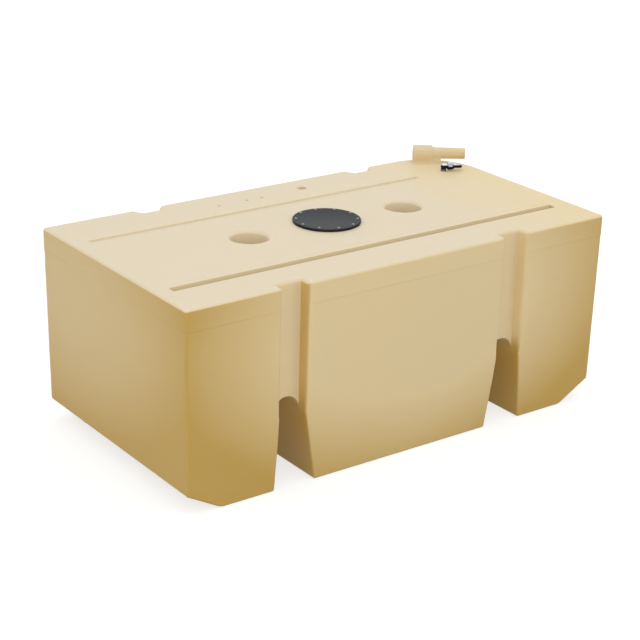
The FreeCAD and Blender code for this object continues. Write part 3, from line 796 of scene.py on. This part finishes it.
def plain_finish(name, dark, light, grain, rough, metallic=0.0, painted_side_shade=None, gloss=0.5):
    """A fine grained finish; the side colour, when given, is painted on the faces that do not
    look up, as painted shade.
    """
    material, tree, place = new_finish(name)
    cloud = add(tree, "ShaderNodeTexNoise", {"Scale": grain, "Detail": 4.0},
                {"Vector": place}).outputs["Fac"]
    colour = tone_ramp(tree, cloud, dark, light).outputs["Color"]
    if painted_side_shade:
        up = ranged(tree, direction(tree)["Z"], 0.35, 0.6)
        colour = add(tree, "ShaderNodeMixRGB", {"Color1": hex_colour(painted_side_shade)},
                     {"Fac": up, "Color2": colour}).outputs["Color"]
    shader = add(tree, "ShaderNodeBsdfPrincipled",
                 {"Metallic": metallic, "Specular IOR Level": gloss},
                 {"Base Color": colour,
                  "Roughness": ranged(tree, cloud, 0.0, 1.0, rough * 0.8, rough * 1.2)})
    add(tree, "ShaderNodeOutputMaterial", links={"Surface": shader.outputs["BSDF"]})
    return material


# Its low golden tone is partly painted shade and its pale top tone is painted light.
tank_finish = natural_polyethylene("natural_rotomoulded_polyethylene",
                                   "#c7a457", "#e6d0a0", "#dfd1b5")

# The filler is welded on and its wall is even, so its three tones lie close together; its top is
# paler with painted light and its underside darker with painted shade.
filler_finish = natural_polyethylene("natural_welded_polyethylene",
                                     "#cfb383", "#d6c095", "#e1d6bf")

# Injection moulded with a fine grain: satin on top, and its edge painted nearly black as painted
# shade.
plate_finish = plain_finish("moulded_black_polyethylene", "#2b3134", "#33393c", 90.0, 0.55,
                            painted_side_shade="#050505", gloss=0.3)

# Cut from calendered sheet: black and matt.
rubber_finish = plain_finish("nitrile_rubber_sheet", "#0c0c0c", "#131313", 120.0, 0.8)

# Turned brass with bright nickel plate: a mirror with hardly any grain. Its colour is painted
# light on the faces that look up and dark on its sides, as a painted reflection of the room.
nickel_finish = plain_finish("nickel_plate_on_brass", "#e6e8ee", "#f4f4f6", 60.0, 0.16, 1.0,
                             painted_side_shade="#2b2a33")

# Where the vents of the mould stood the skin is a little denser and darker.
mark_finish = plain_finish("mould_vent_mark_polyethylene", "#c0ab8c", "#cfbb9d", 60.0, 0.5)

# Cold-headed steel, barrel plated with zinc: greyish, with a soft broken shine.
screw_finish = plain_finish("zinc_plated_steel", "#a5a399", "#bebcb2", 200.0, 0.32, 1.0)


def dress(obj, material):
    """Give a piece its finish and its body."""
    obj.data.materials.clear()
    obj.data.materials.append(material)
    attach(obj, "root")


TANK_NODES = ["roof_panel", "front_groove", "back_groove", "left_well", "right_well",
              "left_end_wall", "right_end_wall", "rounded_corner_wall",
              "front_left_wall", "front_middle_wall", "front_right_wall",
              "back_left_wall", "back_middle_wall", "back_right_wall",
              "front_left_channel", "front_right_channel",
              "back_left_channel", "back_right_channel",
              "left_tunnel", "right_tunnel", "left_slope", "right_slope",
              "left_floor", "middle_floor", "right_floor"]
for piece, finish, slot, replaced in (
        (tank, tank_finish, "tank_polyethylene", TANK_NODES),
        (filler_piece, filler_finish, "tank_polyethylene",
         ["filler_collar", "filler_pipe", "filler_web"]),
        (insert_piece, tank_finish, "tank_polyethylene", ["fitting_insert"]),
        (plate_piece, plate_finish, "black_polyethylene", ["inspection_plate"]),
        (gasket_piece, rubber_finish, "gasket_rubber", ["plate_gasket"]),
        (elbow_piece, nickel_finish, "nickel_plate", ["vent_elbow"]),
        (nut_piece, nickel_finish, "nickel_plate", ["vent_nut"]),
        (tail_piece, nickel_finish, "nickel_plate", ["vent_hose_tail"]),
        (marks_piece, mark_finish, "tank_polyethylene", []),
        (screws_piece, screw_finish, "nickel_plate", [])):
    dress(piece, finish)
    if replaced:
        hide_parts(*replaced)

# Floor, light and camera. The floor looks white and throws less light back at
# the tank than it seems to.

WHITE = (1, 1, 1, 1)


def floor_finish():
    """A painted floor, matt and pale."""
    material, tree, _ = new_finish("pale_studio_floor")
    path = add(tree, "ShaderNodeLightPath").outputs
    seen = reckon(tree, "MAXIMUM", path["Is Camera Ray"], path["Is Glossy Ray"])
    matt = add(tree, "ShaderNodeBsdfDiffuse",
               links={"Color": ranged(tree, seen, 0.0, 1.0, 0.28, 0.45)})
    white = add(tree, "ShaderNodeEmission", {"Color": WHITE},
                {"Strength": ranged(tree, seen, 0.0, 1.0, 0.0, 0.68)})
    total = add(tree, "ShaderNodeAddShader",
                links={0: matt.outputs["BSDF"], 1: white.outputs["Emission"]})
    add(tree, "ShaderNodeOutputMaterial", links={"Surface": total.outputs["Shader"]})
    return material


bm = bmesh.new()
bmesh.ops.create_grid(bm, x_segments=1, y_segments=1, size=20)
floor = mesh_piece("studio_floor", bm)
floor.data.materials.append(floor_finish())

WORLD_STRENGTH = 0.9
world = bpy.data.worlds.new("studio_world")
scene.world = world
world.use_nodes = True
tree = world.node_tree
tree.nodes.clear()
sky = add(tree, "ShaderNodeBackground", {"Color": WHITE, "Strength": WORLD_STRENGTH})
add(tree, "ShaderNodeOutputWorld", links={"Surface": sky.outputs["Background"]})


def lamp(name, power, size, place, aim=(0, 0, 0.3)):
    """A square soft lamp that looks at the tank."""
    light = bpy.data.lights.new(name, "AREA")
    light.energy = power
    light.size = size
    obj = collect(bpy.data.objects.new(name, light))
    obj.location = place
    obj.rotation_euler = (Vector(aim) - Vector(place)).to_track_quat("-Z", "Y").to_euler()


lamp("overhead_softbox", 4, 2.0, (0.6, 0.2, 3.4))
lamp("front_right_softbox", 6, 1.2, (2.2, -3.2, 1.3))
lamp("left_low_softbox", 5, 1.2, (-3.0, -0.6, 0.5))
lamp("front_left_softbox", 22, 1.2, (-2.0, -3.4, 1.6))

# The camera stands where the photograph was taken from, with its small roll.

AZIMUTH, ELEVATION, ROLL = math.radians(-36.443), math.radians(21.619), math.radians(1.4525)
CAMERA_PLACE = (-2.7908, -3.7464, 2.1271)
camera_data = bpy.data.cameras.new("photo_camera")
camera_data.sensor_width = 36
camera_data.lens = 96.98
camera = collect(bpy.data.objects.new("photo_camera", camera_data))
back = Vector((math.sin(AZIMUTH) * math.cos(ELEVATION),
               -math.cos(AZIMUTH) * math.cos(ELEVATION), math.sin(ELEVATION)))
right = (-back).cross(Vector((0, 0, 1))).normalized()
up = right.cross(-back)
turned_right = right * math.cos(ROLL) + up * math.sin(ROLL)
turned_up = up * math.cos(ROLL) - right * math.sin(ROLL)
camera.matrix_world = Matrix.Translation(CAMERA_PLACE) @ Matrix(
    (turned_right, turned_up, back)).transposed().to_4x4()
scene.camera = camera
scene.view_settings.view_transform = "Standard"
